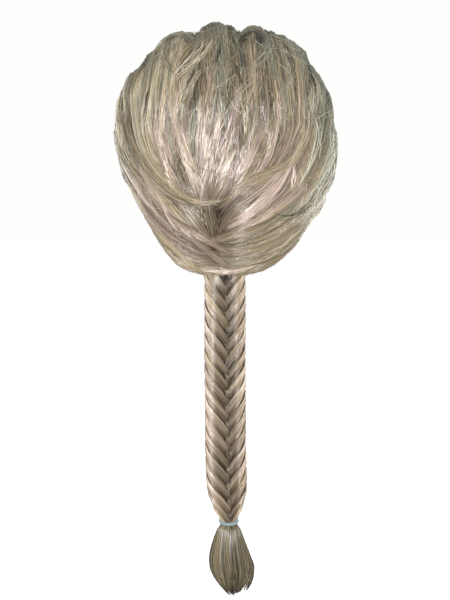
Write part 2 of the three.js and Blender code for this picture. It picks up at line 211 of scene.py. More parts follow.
# the layers of hair: guide lines of stations (degrees round, degrees down), then for each station
# the rise over the outline, how far in to the cap the layer fills, and the depth of its grooves;
# roll lifts single locks, by the share rollAt; start, end and low are the shares over which the layer
# turns in to the cap at its hairline, its tips sink over the share tips, and wide is its width in
# millimetres
crownLayer = dict(
    guides=[
        [(-150, 78), (-112, 52), (-62, 50), (-46, 70), (-45, 88), (-37, 104), (-23, 115), (-11, 123)],
        [(-162, 75), (-112, 30), (-34, 44), (-27, 71), (-27, 89), (-23, 103), (-16, 113), (-10, 122)],
        [(-172, 74), (-140, 23), (-16, 41), (-13, 73), (-15, 89), (-14, 102), (-11, 112), (-9, 121)],
        [(-180, 74), (-178, 21), (0, 38), (-1, 73), (-2, 89), (-4, 102), (-6, 112), (-8, 121)],
        [(172, 74), (140, 23), (14, 41), (11, 73), (10, 89), (6, 103), (0, 112), (-6, 121)],
        [(162, 75), (112, 30), (31, 44), (25, 72), (25, 89), (18, 105), (7, 114), (-4, 122)],
        [(150, 78), (112, 52), (60, 50), (43, 71), (41, 89), (31, 105), (15, 116), (-1, 123)],
    ],
    locks=12,
    rise=[-1, 2, 2, 1, 0, 0, 0, -2],
    fill=[1, 1, 1, 1, 1, 0.6, 0.1, 0],
    relief=[0.6, 0.6, 0.6, 0.8, 1, 0.8, 0.4, 0.15],
    roll=[-6, 0, 0, -5, 2.5, 4, 1.5, -5, 3.5, 0.5, 0.5, -1.5],
    rollAt=[0.3, 1, 1, 0.3, 0, 0, 0, 0],
    start=0.07, end=0, low=0, lowAt=[0, 0], tips=0.1, sink=5, wide=300,
)
leftLayer = dict(
    guides=[
        [(-105, 40), (-58, 47), (-40, 68), (-35, 88), (-27, 104), (-14, 117), (0, 129)],
        [(-118, 54), (-92, 66), (-72, 83), (-62, 99), (-47, 112), (-27, 123), (-4, 137)],
        [(-132, 66), (-111, 81), (-92, 96), (-78, 110), (-61, 121), (-38, 132), (-4, 143)],
        [(-147, 80), (-126, 94), (-106, 109), (-88, 120), (-66, 131), (-40, 140), (-2, 148)],
    ],
    locks=6,
    rise=[-11, -4, 0, 0, -1, -2, -4],
    fill=[1] * 7,
    relief=[1, 1, 1, 1, 0.9, 0.7, 0.5],
    roll=[-5, 0, 0, 0, 0, 0],
    rollAt=[1, 1, 1, 1, 0.5, 0, 0],
    start=0.09, end=0, low=0.12, lowAt=[1, 1, 1, 0.3, 0, 0, 0], tips=0.12, sink=4, wide=120,
)
rightLayer = dict(
    leftLayer,
    guides=[
        [(105, 40), (58, 47), (38, 68), (33, 88), (26, 105), (14, 119), (-5, 127)],
        [(118, 54), (92, 66), (72, 83), (62, 100), (48, 114), (26, 124), (-6, 132)],
        [(132, 66), (110, 81), (92, 96), (79, 110), (61, 122), (35, 131), (-6, 138)],
        [(147, 80), (125, 94), (106, 109), (90, 120), (68, 130), (40, 138), (-6, 144)],
    ],
    rise=[-10, -3, 1, 2, 0, -2, -4],
)
napeLayer = dict(
    guides=[
        [(-94, 114), (-70, 129), (-38, 140), (0, 144), (38, 139), (70, 128), (94, 113)],
        [(-95, 117), (-72, 133), (-40, 145), (0, 150), (40, 144), (72, 132), (95, 116)],
        [(-96, 120), (-74, 137), (-42, 150), (0, 156), (42, 149), (74, 136), (96, 119)],
    ],
    locks=3,
    rise=[-6, -2, 1, 3, 1, -2, -6],
    fill=[1] * 7,
    relief=[0.3, 0.6, 0.6, 0.6, 0.6, 0.6, 0.3],
    roll=[0, 0, 0],
    rollAt=[0, 0],
    start=0.1, end=0.1, low=0.3, lowAt=[1, 1], tips=0, sink=0, wide=35,
)
wallSet = dict(groove=3.6, grooveHalf=0.36, wander=0.5, waves=[(1.1, 2.3, 1), (2.3, -3.7, 0.6)],
               lining=3.9, clear=0.5, leastWall=2.2, free=8, under=3, thinnest=0.4, sit=-1.6, beyond=0.05)


def flow(layer, across, along):
    # the direction of the hair at a share across the guides and a share along them:
    # neighbouring guides are mixed station by station, then a curve runs through the mixed stations
    guides = bearing(np.array(layer["guides"], float))
    place = np.clip(across, -wallSet["beyond"], 1 + wallSet["beyond"]) * (len(guides) - 1)
    low = np.clip(np.floor(place).astype(int), 0, len(guides) - 2)
    share = (place - low)[..., None]

    def station(i):
        return unit(mix(guides[low, i], guides[low + 1, i], share))
    return unit(alongCurve(station, guides.shape[1], along))


def turnIn(x, share):
    # 1 well inside a layer; a quarter circle down to 0 at its edge
    return quarter(x / share) if share > 0 else 1 + 0 * x


def layerRadius(layer, d, across, along, lift):
    # outline plus the layer's rise, its rolled locks and its grooves: a groove is a cosine dip where
    # two locks meet, on a line that wanders; the surface turns in at the hairline and at the tips
    w = wallSet
    inside = np.clip(across, 0, 1)
    spot = inside * layer["locks"]
    stray = sum(size * np.sin(2 * np.pi * (down * along + over * inside)) for down, over, size in w["waves"])
    line = spot + w["wander"] * stray
    fromEdge = np.abs(line - np.round(line))
    dip = 0.5 + 0.5 * np.cos(np.pi * np.minimum(1, fromEdge / w["grooveHalf"]))
    roll = np.interp(spot - 0.5, np.arange(layer["locks"]), layer["roll"])
    rise = (stationValue(layer["rise"], along) + roll * stationValue(layer["rollAt"], along)
            - w["groove"] * stationValue(layer["relief"], along) * dip)
    deepest = headRadius(d, w["lining"]) + w["clear"]
    sink = layer["sink"] * (1 - turnIn(1 - along, layer["tips"]))
    full = np.maximum(deepest + w["leastWall"] - w["clear"], outlineRadius(d) + rise - sink)
    full = np.maximum(deepest, full + lift)
    lower = mix(1, turnIn(1 - inside, layer["low"]), stationValue(layer["lowAt"], along))
    return mix(deepest, full, turnIn(along, layer["start"]) * turnIn(1 - along, layer["end"]) * lower)


def layerPoint(layer, across, along, lift):
    # the point on the layer, raised by lift, and the way out there
    d = flow(layer, across, along)
    return hairCentre + d * layerRadius(layer, d, across, along, lift)[..., None], d


# meshes

def signedVolume(points, faces):
    # sum of the tetrahedra from the origin to each face's triangle fan
    total = 0.0
    for part in faces:
        corner = points[part]
        for i in range(1, part.shape[1] - 1):
            total += (corner[:, 0] * np.cross(corner[:, i], corner[:, i + 1])).sum()
    return total


def makePiece(name, points, faces, uv, material, slot, nodes):
    # points in millimetres, faces as arrays of corner numbers, uv one pair for each point;
    # a skin that is inside out is turned round
    if signedVolume(points, faces) < 0:
        faces = [part[:, ::-1] for part in faces]
    corners = np.concatenate([part.ravel() for part in faces]).astype(np.int32)
    sizes = np.concatenate([np.full(len(part), part.shape[1]) for part in faces])
    mesh = bpy.data.meshes.new(name)
    mesh.vertices.add(len(points))
    mesh.vertices.foreach_set("co", (points * mm).astype(np.float32).ravel())
    mesh.loops.add(len(corners))
    mesh.loops.foreach_set("vertex_index", corners)
    mesh.polygons.add(len(sizes))
    mesh.polygons.foreach_set("loop_start", (np.cumsum(sizes) - sizes).astype(np.int32))
    mesh.uv_layers.new(name="run").data.foreach_set("uv", uv[corners].astype(np.float32).ravel())
    mesh.update(calc_edges=True)
    mesh.shade_smooth()
    mesh.materials.append(material)
    piece = bpy.data.objects.new(name, mesh)
    bpy.context.scene.collection.objects.link(piece)
    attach(piece, "root")
    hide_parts(*nodes)
    print(name, "made,", int((sizes - 2).sum()), "triangles")
    return piece


def joined(parts):
    # several meshes as one: corner numbers move on by the points that come before
    starts = np.cumsum([0] + [len(part[0]) for part in parts[:-1]])
    faces = [face + start for part, start in zip(parts, starts) for face in part[1]]
    points, uv = (np.concatenate([part[i] for part in parts]) for i in (0, 2))
    return points, faces, uv


def gridFaces(number):
    # quads of a grid of corner numbers
    corners = [number[:-1, :-1], number[:-1, 1:], number[1:, 1:], number[1:, :-1]]
    return np.stack(corners, -1).reshape(-1, 4)


def closedWall(outer, inner):
    # an outer and an inner grid, joined by a strip round their border
    rows, columns = outer.shape[:2]
    front = np.arange(rows * columns).reshape(rows, columns)
    back = front + rows * columns
    rim = np.concatenate([front[0, :-1], front[:-1, -1], front[-1, :0:-1], front[:0:-1, 0]])
    step = np.roll(rim, -1)
    strip = np.stack([step, rim, rim + rows * columns, step + rows * columns], -1)
    points = np.concatenate([outer.reshape(-1, 3), inner.reshape(-1, 3)])
    return points, [gridFaces(front), gridFaces(back)[:, ::-1], strip]


def ringStack(points, uv, closed):
    # a skin round a stack of rings; the last ring meets the first, or each end gets a fan to its middle
    rings, sides = points.shape[:2]
    number = np.arange(rings * sides).reshape(rings, sides)
    wrapped = np.concatenate([number, number[:, :1]], 1)
    flat, flatUv = points.reshape(-1, 3), uv.reshape(-1, 2)
    if closed:
        return flat, [gridFaces(np.concatenate([wrapped, wrapped[:1]], 0))], flatUv
    first = np.stack([np.roll(number[0], -1), number[0], np.full(sides, rings * sides)], -1)
    last = np.stack([number[-1], np.roll(number[-1], -1), np.full(sides, rings * sides + 1)], -1)
    middles = np.stack([points[0].mean(0), points[-1].mean(0)])
    return (np.concatenate([flat, middles]), [gridFaces(wrapped), first, last],
            np.concatenate([flatUv, flatUv[:1], flatUv[-1:]]))


strandSection = np.array([(0.0, 0.8), (-1.0, -0.4), (1.0, -0.4)])  # sideways, upwards


def strandTubes(path, upright, halfWidth, tone, hue):
    # each strand is a three-sided tube carried along its path, one edge up, closed at both ends;
    # its uv is (tone, hue), and strands that come in groups are laid out in one row
    shape, steps = path.shape[:-1], path.shape[-2]
    path, upright = (np.broadcast_to(v, (*shape, 3)).reshape(-1, steps, 3) for v in (path, upright))
    halfWidth, tone, hue = (np.broadcast_to(v, shape).reshape(-1, steps) for v in (halfWidth, tone, hue))
    tangent = unit(np.gradient(path, axis=1))
    side = unit(np.cross(tangent, upright))
    up = np.cross(side, tangent)
    ring = (path[:, :, None] + halfWidth[..., None, None]
            * (strandSection[:, :1] * side[:, :, None] + strandSection[:, 1:] * up[:, :, None]))
    number = np.arange(ring.size // 3).reshape(ring.shape[:3])
    turned = np.roll(number, -1, axis=2)
    quads = np.stack([number[:, :-1], turned[:, :-1], turned[:, 1:], number[:, 1:]], -1).reshape(-1, 4)
    ends = np.concatenate([number[:, 0, ::-1], number[:, -1]])
    colour = np.clip(np.stack([tone, hue], -1), 0.01, 0.99)
    uv = np.broadcast_to(colour[:, :, None], (*number.shape, 2)).reshape(-1, 2)
    return ring.reshape(-1, 3), [quads, ends], uv


# materials

def newMaterial(name, **sockets):
    material = bpy.data.materials.new(name)
    material.use_nodes = True
    shader = material.node_tree.nodes["Principled BSDF"]
    for socket, value in sockets.items():
        shader.inputs[socket.replace("_", " ")].default_value = value
    return material, material.node_tree, shader


def addNode(tree, kind, inputs, **settings):
    # gives the node's outputs; an input gets a link when its value is a socket, else a constant
    node = tree.nodes.new("ShaderNode" + kind)
    for name, value in settings.items():
        setattr(node, name, value)
    for place, value in inputs.items():
        if isinstance(value, bpy.types.NodeSocket):
            tree.links.new(value, node.inputs[place])
        else:
            node.inputs[place].default_value = value
    return node.outputs


def mixColours(tree, share, first, second):
    return addNode(tree, "Mix", {0: share, 6: first, 7: second}, data_type="RGBA")[2]


def srgb(r, g, b):
    # 0 to 255 on screen to a linear colour
    c = np.array([r, g, b]) / 255
    return (*np.where(c <= 0.04045, c / 12.92, ((c + 0.055) / 1.055) ** 2.4), 1.0)


def colourRamp(tree, share, stops):
    # stops are places from 0 to 1, each with its colour on screen
    node = tree.nodes.new("ShaderNodeValToRGB")
    elements = node.color_ramp.elements
    while len(elements) < len(stops):
        elements.new(0.5)
    for i, (place, colour) in enumerate(stops):
        elements[i].position, elements[i].color = place, srgb(*colour)
    tree.links.new(share, node.inputs["Fac"])
    return node.outputs["Color"]


def newGroup(name, inputs, outputs):
    group = bpy.data.node_groups.new(name, "ShaderNodeTree")
    for side, sockets in (("INPUT", inputs), ("OUTPUT", outputs)):
        for socket, kind in sockets.items():
            group.interface.new_socket(socket, in_out=side, socket_type="NodeSocket" + kind)
    source, sink = group.nodes.new("NodeGroupInput"), group.nodes.new("NodeGroupOutput")
    return group, source.outputs, sink.inputs


hairTones = dict(  # each from dark to pale
    ash=[(40, 41, 34), (84, 85, 73), (124, 125, 111), (163, 163, 148), (202, 202, 190)],
    gold=[(46, 39, 24), (92, 82, 58), (136, 123, 92), (174, 161, 128), (210, 200, 172)],
    rose=[(50, 38, 32), (98, 82, 74), (142, 124, 115), (180, 162, 155), (216, 203, 198)],
)


def hairToneGroup():
    # the hair's colour for a tone from 0, dark, to 1, pale, and a hue from 0, ash, by way of gold to 1,
    # rose
    group, source, sink = newGroup("hairTone", dict(Tone="Float", Hue="Float"), dict(Color="Color"))
    ash, gold, rose = (colourRamp(group, source["Tone"], list(zip(np.linspace(0, 1, len(tones)), tones)))
                       for tones in hairTones.values())
    toGold = addNode(group, "MapRange", {"Value": source["Hue"], "From Min": 0, "From Max": 0.5})
    toRose = addNode(group, "MapRange", {"Value": source["Hue"], "From Min": 0.5, "From Max": 1})
    warm = mixColours(group, toGold["Result"], ash, gold)
    group.links.new(mixColours(group, toRose["Result"], warm, rose), sink["Color"])
    return group


def fibresGroup():
    # fine streaks: noise over a uv that is stretched along the run
    group, source, sink = newGroup("fibres", dict(Vector="Vector", Stretch="Vector", Detail="Float"),
                                   dict(Fac="Float", Color="Color"))
    run = addNode(group, "Mapping", {"Vector": source["Vector"], "Scale": source["Stretch"]})["Vector"]
    noise = addNode(group, "TexNoise", {"Vector": run, "Scale": 1, "Detail": source["Detail"]})
    for name in ("Fac", "Color"):
        group.links.new(noise[name], sink[name])
    return group


hairTone, fibres = hairToneGroup(), fibresGroup()


def ownUv(tree):
    return addNode(tree, "UVMap", {}, uv_map="run")["UV"]


def dress(tree, shader, colour, height, strength, distance):
    # base colour, and a bump from a height
    bump = addNode(tree, "Bump", {"Height": height, "Strength": strength, "Distance": distance})
    tree.links.new(colour, shader.inputs["Base Color"])
    tree.links.new(bump["Normal"], shader.inputs["Normal"])


def strandMaterial():
    # every strand takes its tone and hue from its own uv
    material, tree, shader = newMaterial("hairStrand", Roughness=0.27, Specular_IOR_Level=1.0)
    uv = addNode(tree, "SeparateXYZ", {"Vector": ownUv(tree)})
    colour = addNode(tree, "Group", {"Tone": uv["X"], "Hue": uv["Y"]}, node_tree=hairTone)["Color"]
    tree.links.new(colour, shader.inputs["Base Color"])
    return material


# the under hair's tones, from dark to light, are both low: painted shade of the loose strands over it
streakSet = dict(width=300, stretch=(420, 6, 1), detail=3, low=0.3, high=0.7, dark=0.02, light=0.36,
                 bump=0.3, depth=0.0006)


def underMaterial(streaks):
    # the imported hair under the loose strands: fine streaks along its run, from stretched noise, held to
    # low tones as painted shade under the strands
    material, tree, shader = newMaterial("hairUnder", Roughness=0.5, Specular_IOR_Level=0.35)
    noise = addNode(tree, "Group", {"Vector": ownUv(tree), "Stretch": streaks["stretch"],
                                    "Detail": streaks["detail"]}, node_tree=fibres)
    tone = addNode(tree, "MapRange", {"Value": noise["Fac"], "From Min": streaks["low"],
                                      "From Max": streaks["high"], "To Min": streaks["dark"],
                                      "To Max": streaks["light"]})["Result"]
    hue = addNode(tree, "SeparateXYZ", {"Vector": noise["Color"]})["Y"]
    colour = addNode(tree, "Group", {"Tone": tone, "Hue": hue}, node_tree=hairTone)["Color"]
    dress(tree, shader, colour, noise["Fac"], streaks["bump"], streaks["depth"])
    return material


hairStrand, hairUnder = strandMaterial(), underMaterial(streakSet)
print("hair materials made")


def strandPiece(name, parts, node):
    # sets of strands as one piece
    makePiece(name, *joined(parts), hairStrand, "hair", [node])


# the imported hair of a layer: its outer face lies a little under the loose strands
def underWall(layer, rows, columns):
    # grid of shares along and across; the inner face is mixed from a free sheet to the cap's lining
    along, across = np.meshgrid(np.linspace(0, 1, rows), np.linspace(0, 1, columns), indexing="ij")
    d = flow(layer, across, along)
    outside = layerRadius(layer, d, across, along, -wallSet["under"])
    deepest = headRadius(d, wallSet["lining"])
    free = np.maximum(deepest, outside - wallSet["free"] + wallSet["under"])
    filled = mix(free, deepest, stationValue(layer["fill"], along))
    inside = np.minimum(filled, outside - wallSet["thinnest"])
    points, faces = closedWall(hairCentre + d * outside[..., None], hairCentre + d * inside[..., None])
    uv = np.stack([across * layer["wide"] / streakSet["width"], along], -1).reshape(-1, 2)
    return points, faces, np.concatenate([uv, uv])


# what all combed locks share: the irrational steps of their roots, how many sway more than the rest, a
# strand's place in the section, tapers as root, full, thins and tip, the painted shade that darkens a lock's
# edge strands and its low-lying strands, and the strand's own random hue
lockShape = dict(
    acrossStep=0.7548776662, acrossFirst=0.31, rootStep=0.5698402910, rootFirst=0.17, swayed=0.15,
    swayMore=3, rootward=1.15, place=0.5, placeMost=1.2, probe=0.03, swing=0.4, hump=(0.12, 0.9),
    humpLeast=0.35, rises=0.4, section=(0.8, 0.35, 0.45), thin=(0.7, 0.2, 0.6, 0.15), edgeShade=0.1,
    depthShade=0.08, hueStrand=0.22, hairline=0.01, waves=[(0.8, 1), (1.9, 0.5)], strays=(0.05, 0.6),
    loosens=(0.2, 1),
)


def growLocks(layer, locks):
    # a lock runs along the flow from its root to its tip. Roots are spread evenly over the layer by
    # steps of two irrational numbers, and a share of them start at the hairline. A strand keeps its
    # place in the lock's round section while the section swells and then draws to a point; past the
    # layer's edge a strand is folded back, or else it falls away by so many millimetres a share
    f = lockShape
    rng = np.random.default_rng(locks["seed"])
    perLock, own = (locks["count"], 1, 1), (locks["count"], locks["strands"], 1)
    order = np.arange(locks["count"])[:, None, None]
    middle = mix(*locks["across"], (order * f["acrossStep"] + f["acrossFirst"]) % 1)
    root = mix(*locks["root"], (order * f["rootStep"] + f["rootFirst"]) % 1)
    root = np.where(rng.random(perLock) < locks["rooted"], locks["root"][0], root)
    tip = root + mix(*locks["length"], rng.random(perLock))
    tip = np.where(rng.random(perLock) < locks["reaching"], np.inf, tip)
    tip = np.minimum(tip, locks["end"] - locks["endSpread"] * rng.random(perLock) ** 2)
    width = mix(*locks["width"], rng.random(perLock))
    sway = rng.normal(0, locks["sway"], perLock)
    sway = sway * np.where(rng.random(perLock) < f["swayed"], f["swayMore"], 1)
    bend = rng.normal(0, locks["bend"], perLock)
    lie = mix(*locks["lie"], rng.random(perLock))
    lockTone = rng.normal(locks["tone"], locks["toneLock"], perLock)
    lockHue = rng.normal(0, locks["hueLock"], perLock)

    s = np.linspace(0, 1, locks["steps"]) ** f["rootward"]
    place = np.clip(rng.normal(0, f["place"], own), -f["placeMost"], f["placeMost"])
    depth = rng.random(own)
    short = 1 - locks["ragged"] * rng.random(own) ** 2
    along = root + (tip - root) * s * short
    centre = np.broadcast_to(middle, along.shape)
    ahead = flow(layer, np.clip(centre + f["probe"], 0, 1), along)
    behind = flow(layer, np.clip(centre - f["probe"], 0, 1), along)
    unitWidth = np.linalg.norm(ahead - behind, axis=-1) * hairForm["halfWidth"] / (2 * f["probe"])
    stray = sum(size * np.sin(2 * np.pi * (rate * s + rng.random(own))) for rate, size in f["waves"])
    sideways = (place * width * taper(s, *f["section"], locks["point"])
                + locks["wander"] * (stray * ease(s, *f["strays"]))
                + sway * (s - f["swing"]) + bend * np.sin(np.pi * s))
    across = centre + sideways / np.maximum(unitWidth, locks["narrow"])
    if locks["folded"]:
        across = 1 - np.abs(1 - np.abs(across))
    outside = np.maximum(0, np.maximum(-across, across - 1))
    hump = np.maximum(0, 1 - place ** 2) * locks["thick"] * np.sin(np.pi * mix(*f["hump"], s))
    rise = mix(locks["tuck"] * (root > f["hairline"]), lie, ease(s, 0, f["rises"]))
    lift = (rise + hump * mix(f["humpLeast"], 1, depth)
            + rng.normal(0, locks["loose"], own) * ease(s, *f["loosens"]))
    lift = lift * stationValue(locks["hold"], along) - locks["fall"] * outside
    path, upright = layerPoint(layer, across, along, lift + wallSet["sit"])

    half = mix(*locks["strand"], rng.random(own)) * taper(s, *f["thin"])
    # painted shade: strands at a lock's edges and strands lying low in it are darker
    tone = (lockTone + rng.normal(0, locks["toneStrand"], own) - f["edgeShade"] * place ** 2
            + f["depthShade"] * depth + stationValue(locks["toneAlong"], along))
    hue = lockHue + rng.normal(0, f["hueStrand"], own) + stationValue(locks["hueAlong"], along)
    return strandTubes(path, upright, half, tone, hue)


crownCombed = dict(
    seed=11, count=380, strands=5, steps=9, across=(0.0, 1.0), root=(0.0, 0.8), rooted=0.25,
    length=(0.3, 0.55), reaching=0.1, end=1.03, endSpread=0.1, width=(1.5, 3.5), sway=4, bend=2,
    lie=(0.0, 0.9), tuck=-1.5, thick=0.7, wander=0.6, loose=0.25, narrow=60, ragged=0.3, point=0.5,
    strand=(0.28, 0.46), tone=0.34, toneLock=0.1, toneStrand=0.11, hueLock=0.16,
    toneAlong=[-0.04, -0.04, -0.04, -0.04, -0.03, -0.02, -0.03, -0.06],
    hueAlong=[0.15, 0.2, 0.28, 0.44, 0.52, 0.75, 0.85, 0.85], hold=[1, 0.4, 0.3, 0.8, 1, 1, 1, 1],
    folded=True, fall=0,
)
crownEdge = dict(  # hair that falls from the crown's edge over the temple
    crownCombed, seed=17, count=34, strands=7, across=(-0.04, 0.01), root=(0.0, 0.3), rooted=0.4,
    length=(0.2, 0.4), end=0.5, width=(1, 2.5), lie=(-0.4, 0.6), folded=False, fall=300, tone=0.4,
)
shortHair = dict(root=(0.0, 0.03), rooted=0.6, length=(0.08, 0.28), strands=4, steps=7, tone=0.4)
crownHairline = dict(crownCombed, **shortHair, seed=15, count=170)  # covers the front edge
fullLock = dict(tuck=-2.5, loose=0.35, strand=(0.26, 0.44), tone=0.5, toneLock=0.13, toneStrand=0.1,
                hueLock=0.22)
crownLocks = dict(
    {**crownCombed, **fullLock}, seed=13, count=92, strands=21, steps=12, root=(0.0, 0.7), rooted=0.2,
    length=(0.35, 0.8), reaching=0.2, width=(3.5, 8), sway=6, bend=3.5, lie=(0.6, 2.4), thick=2.8,
    point=0.2,
)
sideCombed = dict(
    crownCombed, seed=23, count=250, steps=8, root=(0.0, 0.85), end=1.05, endSpread=0.12, narrow=40,
    tone=0.36, toneAlong=[-0.06, -0.06, -0.04, 0.0, 0.04, 0.05, 0.0],
    hueAlong=[0.1, 0.12, 0.25, 0.45, 0.65, 0.8, 0.8], hold=[1],
)
sideLocks = dict(
    {**sideCombed, **fullLock}, seed=27, count=66, strands=18, steps=11, root=(0.0, 0.72), rooted=0.2,
    length=(0.35, 0.7), reaching=0.25, width=(3, 7), bend=2.5, lie=(0.5, 2.1), thick=2.5, point=0.25,
)
sideHairline = dict({**sideCombed, **shortHair}, seed=25, count=70)
sideSets = (sideCombed, sideLocks, sideHairline)
leftTones = dict(toneAlong=[-0.02, -0.02, 0.0, 0.02, 0.0, 0.0, -0.04])
rightHues = dict(hueAlong=[0.0, 0.0, 0.02, 0.1, 0.35, 0.6, 0.7])  # the right side is more ash
rightSeed = 6  # added to each side seed
napeCombed = dict(
    sideCombed, seed=37, count=100, width=(1, 2.5), sway=1.5, bend=0.8, narrow=24, root=(0.0, 0.75),
    reaching=0.2, end=1.0, toneAlong=[-0.06, 0.02, 0.04, 0.0, 0.02, 0.0, -0.06],
    hueAlong=[0.3, 0.5, 0.6, 0.6, 0.5, 0.4, 0.3],
)
napeLocks = dict(
    napeCombed, seed=39, count=36, strands=16, steps=11, width=(2, 4.5), lie=(0.3, 1.3), tuck=-2,
    thick=1.6, point=0.35, tone=0.5,
)
looseHairs = dict(
    crownLocks, seed=61, count=150, strands=1, steps=9, root=(0.12, 0.75), rooted=0, reaching=0,
    length=(0.1, 0.28), sway=20, bend=8, lie=(1.8, 4.2), tuck=0.5, thick=0, loose=0.6,
    strand=(0.16, 0.28), tone=0.72, toneLock=0.14,
)

underRows = dict(  # layer, rows along it and columns across it
    crown=(crownLayer, 48, 61), left=(leftLayer, 40, 31), right=(rightLayer, 40, 31),
    nape=(napeLayer, 40, 17),
)
for name, wall in underRows.items():
    makePiece(name + "Under", *underWall(*wall), hairUnder, "hair", [name + "_hair"])
crownSets = (crownCombed, crownEdge, dict(crownEdge, seed=19, across=(0.99, 1.04)), crownHairline)
strandPiece("crownCombed", [growLocks(crownLayer, locks) for locks in crownSets], "crown_hair")
strandPiece("crownLocks", [growLocks(crownLayer, crownLocks)], "crown_hair")
leftSets = [{**locks, **leftTones} for locks in sideSets]
rightSets = [{**locks, **rightHues, "seed": locks["seed"] + rightSeed} for locks in sideSets]
strandPiece("leftStrands", [growLocks(leftLayer, locks) for locks in leftSets], "left_hair")
strandPiece("rightStrands", [growLocks(rightLayer, locks) for locks in rightSets], "right_hair")
strandPiece("napeStrands", [growLocks(napeLayer, locks) for locks in (napeCombed, napeLocks)], "nape_hair")
strandPiece("looseHairs", [growLocks(crownLayer, looseHairs),
                           growLocks(leftLayer, dict(looseHairs, seed=63, count=50)),
                           growLocks(rightLayer, dict(looseHairs, seed=65, count=70))], "crown_hair")

# the hair's real surface: its height over the outline, looked up by bearing
surfaceSet = dict(cell=3, samples=320, bare=-8)


def degreesOf(d):
    # degrees round, from 0 to 360, and degrees down of a bearing
    lon = np.degrees(np.arctan2(d[..., 0], -d[..., 1])) % 360
    return lon, np.degrees(np.arccos(np.clip(d[..., 2], -1, 1)))


def surfaceHeights(layers):
    # a grid of degrees round and down: each cell keeps the highest sample of any layer, then takes in
    # a half of its neighbours
    cell = surfaceSet["cell"]
    heights = np.full((360 // cell, 180 // cell), float(surfaceSet["bare"]))
    share = np.linspace(0, 1, surfaceSet["samples"])
    along, across = np.meshgrid(share, share, indexing="ij")
    for layer in layers:
        d = flow(layer, across, along)
        lon, drop = ((place / cell).astype(int) for place in degreesOf(d))
        rise = layerRadius(layer, d, across, along, 0) - outlineRadius(d)
        np.maximum.at(heights, (lon % heights.shape[0], drop), rise)
    for axis in (0, 1):
        heights = (np.roll(heights, 1, axis) + 2 * heights + np.roll(heights, -1, axis)) / 4
    return heights


hairHeights = surfaceHeights([crownLayer, leftLayer, rightLayer, napeLayer])


def surfaceRadius(d):
    # outline plus the heights of the four nearest cells, weighted by nearness
    lon, drop = (place / surfaceSet["cell"] - 0.5 for place in degreesOf(d))
    i, j = np.floor(lon).astype(int), np.floor(drop).astype(int)

    def height(di, dj):
        return hairHeights[(i + di) % hairHeights.shape[0], np.clip(j + dj, 0, hairHeights.shape[1] - 1)]
    upper = mix(height(0, 0), height(1, 0), lon - i)
    return outlineRadius(d) + mix(upper, mix(height(0, 1), height(1, 1), lon - i), drop - j)


# kinds of single locks that cross over the rest: lift and half width are in millimetres, stray is how far a
# strand leaves its place, ragged how unevenly the strands end; tip lifts the tips
usualLock = dict(lift=1.0, half=4, strands=30, tone=0.45, hue=0.4, stray=1.3, ragged=0.3, tip=-2.5,
                 strand=(0.24, 0.4))
thinLock = dict(usualLock, half=3, strands=8, stray=2.6, ragged=0.5, lift=1.8, strand=(0.18, 0.28))
topLock = dict(usualLock, lift=-0.8, stray=1.6, ragged=0.35)
# painted shade: thin dark locks laid in the gaps between locks
shadeLock = dict(usualLock, half=0.7, strands=8, stray=0.8, ragged=0.6, lift=0.5, tip=-1.5, tone=0.1,
                hue=0.4, strand=(0.16, 0.28))
# painted highlight: thin pale rose locks
highlightLock = dict(usualLock, half=2.4, strands=20, stray=1.2, ragged=0.45, lift=1.4, tone=0.88, hue=0.85)
laidSet = dict(seed=71, steps=11, tuck=2.5, thick=1.4, place=0.5, placeMost=1.2, slow=(0.6, 1.6),
               toneStrand=0.1, edgeShade=0.1, hueStrand=0.2, section=(0.6, 0.35, 0.55, 0.5),
               thin=(0.3, 0.2, 0.7, 0.2), tucked=(0, 0.25), tipped=(0.75, 1))


def lay(kind, *run, **changes):
    # a lock of one kind, the stations it runs through, and what sets it apart
    return dict(kind, run=run, **changes)


